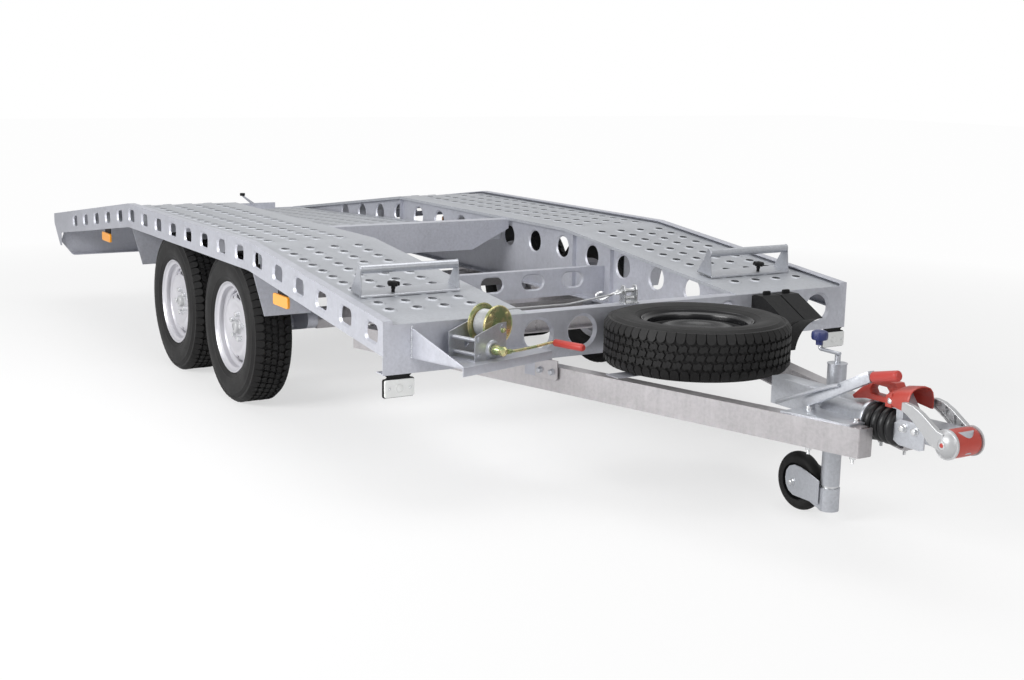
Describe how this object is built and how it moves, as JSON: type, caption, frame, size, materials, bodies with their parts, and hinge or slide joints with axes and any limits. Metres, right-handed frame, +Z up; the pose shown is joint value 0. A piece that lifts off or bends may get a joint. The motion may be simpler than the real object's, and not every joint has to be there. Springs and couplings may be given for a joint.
{
  "type": "car hauler trailer",
  "caption": "Tandem-axle car hauler trailer with a humped perforated deck, slotted side rails, A-frame drawbar, winch, spare wheel and jockey wheel.",
  "frame": {"origin": "on the floor, midway between the coupling nose and the tail of the deck, on the centre line", "axes": "+X forward to the coupling, +Y to the left, +Z up"},
  "size_m": [6.09, 2.108, 0.737],
  "materials": {
    "galvanised_steel": "hot-dip galvanised, satin",
    "tyre_rubber": "matt",
    "black_rubber": "matt",
    "silver_steel": "silver paint",
    "black_steel": "black paint",
    "yellow_zinc": "yellow zinc plating",
    "cast_metal": "zinc-plated casting",
    "red_plastic": "semi-gloss",
    "black_plastic": "matt",
    "clear_lens": "clear moulded lens",
    "amber_lens": "amber moulded lens",
    "red_lens": "red moulded lens",
    "wire_rope": "stranded wire"
  },
  "bodies": {
    "chassis": {"axle_front": "galvanised_steel", "axle_rear": "galvanised_steel", "bellows": "black_rubber", "centre_platform": "galvanised_steel", "chock_holder": "galvanised_steel", "coupling_arms": "galvanised_steel", "coupling_handle": "red_plastic", "coupling_head": "cast_metal", "cross_tray": "galvanised_steel", "drawbar_cross": "galvanised_steel", "drawbar_left": "galvanised_steel", "drawbar_right": "galvanised_steel", "friction_pads": "black_plastic", "front_beam": "galvanised_steel", "front_lamps": "clear_lens", "handbrake_grip": "red_plastic", "handbrake_lever": "galvanised_steel", "inner_beam_left": "galvanised_steel", "inner_beam_right": "galvanised_steel", "jockey_clamp": "galvanised_steel", "jockey_crank": "galvanised_steel", "jockey_tube": "galvanised_steel", "lamp_brackets": "black_plastic", "middle_cross_member": "galvanised_steel", "mudguards": "galvanised_steel", "nose_buffer": "red_plastic", "overrun_housing": "galvanised_steel", "rear_beam": "galvanised_steel", "runway_left": "galvanised_steel", "runway_members_left": "galvanised_steel", "runway_members_right": "galvanised_steel", "runway_right": "galvanised_steel", "side_lamps": "amber_lens", "side_rail_left": "galvanised_steel", "side_rail_right": "galvanised_steel", "spare_carrier": "galvanised_steel", "spare_rim": "black_steel", "spare_tyre": "tyre_rubber", "tail_lamps": "red_lens", "trailing_arms": "galvanised_steel", "wheel_chocks": "black_plastic", "wheel_stops": "galvanised_steel", "winch_frame": "galvanised_steel", "winch_rope": "wire_rope", "winch_tray": "galvanised_steel"},
    "wheel_front_right": {"tyre_front_right": "tyre_rubber", "rim_front_right": "silver_steel"},
    "wheel_front_left": {"tyre_front_left": "tyre_rubber", "rim_front_left": "silver_steel"},
    "wheel_rear_right": {"tyre_rear_right": "tyre_rubber", "rim_rear_right": "silver_steel"},
    "wheel_rear_left": {"tyre_rear_left": "tyre_rubber", "rim_rear_left": "silver_steel"},
    "jockey_leg": {"jockey_leg": "galvanised_steel"},
    "jockey_fork": {"jockey_fork": "galvanised_steel"},
    "jockey_wheel": {"jockey_tyre": "black_rubber", "jockey_rim": "galvanised_steel"},
    "winch_crank": {"winch_crank": "yellow_zinc", "winch_grip": "red_plastic"},
    "winch_drum": {"winch_drum": "yellow_zinc"}
  },
  "joints": [
    {"name": "wheel_front_right_spin", "type": "hinge", "parent": "chassis", "child": "wheel_front_right", "pos_m": [-0.115, -0.94, 0.326], "axis": [0, 1, 0], "continuous": true},
    {"name": "wheel_front_left_spin", "type": "hinge", "parent": "chassis", "child": "wheel_front_left", "pos_m": [-0.115, 0.94, 0.326], "axis": [0, 1, 0], "continuous": true},
    {"name": "wheel_rear_right_spin", "type": "hinge", "parent": "chassis", "child": "wheel_rear_right", "pos_m": [-0.866, -0.94, 0.326], "axis": [0, 1, 0], "continuous": true},
    {"name": "wheel_rear_left_spin", "type": "hinge", "parent": "chassis", "child": "wheel_rear_left", "pos_m": [-0.866, 0.94, 0.326], "axis": [0, 1, 0], "continuous": true},
    {"name": "jockey_extend", "type": "slide", "parent": "chassis", "child": "jockey_leg", "axis": [0, 0, 1], "range_m": [-0.2, 0]},
    {"name": "jockey_swivel", "type": "hinge", "parent": "jockey_leg", "child": "jockey_fork", "pos_m": [2.37, 0.13, 0.1], "axis": [0, 0, 1], "continuous": true},
    {"name": "jockey_wheel_spin", "type": "hinge", "parent": "jockey_fork", "child": "jockey_wheel", "pos_m": [2.232, 0.13, 0.1], "axis": [0, 1, 0], "continuous": true},
    {"name": "winch_drum_turn", "type": "hinge", "parent": "chassis", "child": "winch_drum", "pos_m": [1.53519, -0.67871, 0.58308], "axis": [0.9613, 0.2756, 0], "continuous": true},
    {"name": "winch_crank_turn", "type": "hinge", "parent": "chassis", "child": "winch_crank", "pos_m": [1.60677, -0.7107, 0.511], "axis": [0.9613, 0.2756, 0], "continuous": true}
  ],
  "couplings": [
    {"joint": "winch_crank_turn", "follows": "winch_drum_turn", "ratio": -4}
  ]
}
